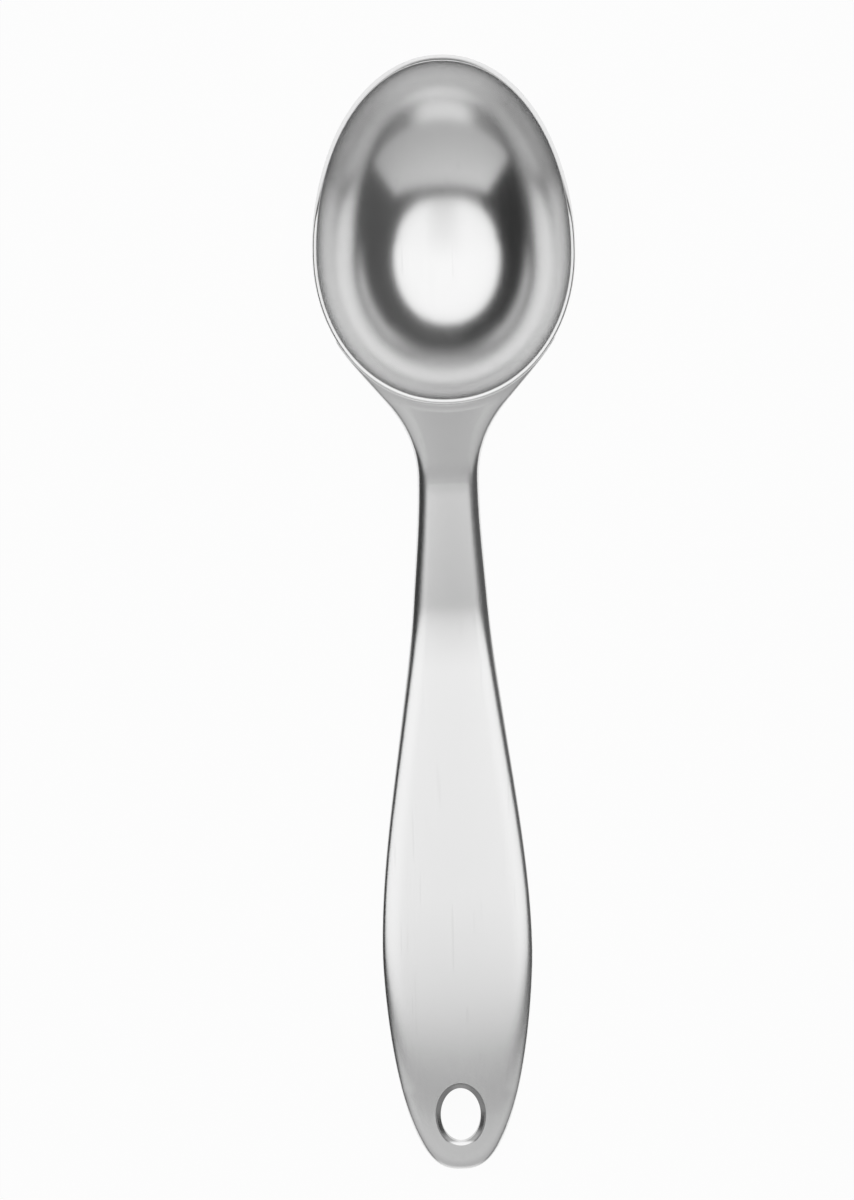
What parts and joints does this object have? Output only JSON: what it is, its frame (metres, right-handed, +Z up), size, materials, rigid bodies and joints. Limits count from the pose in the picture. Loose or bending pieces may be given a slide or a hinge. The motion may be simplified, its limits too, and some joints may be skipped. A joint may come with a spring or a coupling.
{
  "type": "ice cream scoop",
  "caption": "Stainless steel ice cream scoop: egg-shaped bowl with a thin rim, flared neck, flat tapered hollow handle and oval hanging eye.",
  "frame": {"origin": "middle of the scoop's length and width, on the table that it lies on", "axes": "+Y runs along the scoop to the bowl's tip, +Z is up and the bowl opens towards it, +X is to the right seen from the tail"},
  "size_m": [0.0494, 0.21, 0.0245],
  "materials": {
    "bowl_steel": "satin, slightly glossier inside the bowl",
    "handle_steel": "fine satin",
    "weld_steel": "ground flush, satin",
    "bar_steel": "as drawn, hidden inside"
  },
  "bodies": {
    "root": {"bowl": "bowl_steel", "bowl_weld": "weld_steel", "neck_fitting": "handle_steel", "neck_weld": "weld_steel", "handle_front_shell": "handle_steel", "handle_back_shell": "handle_steel", "handle_seam_weld": "weld_steel", "hanging_eye_sleeve": "handle_steel", "eye_weld_front": "weld_steel", "eye_weld_back": "weld_steel", "tang_bar": "bar_steel", "tang_anchor_block": "bar_steel"}
  },
  "joints": []
}
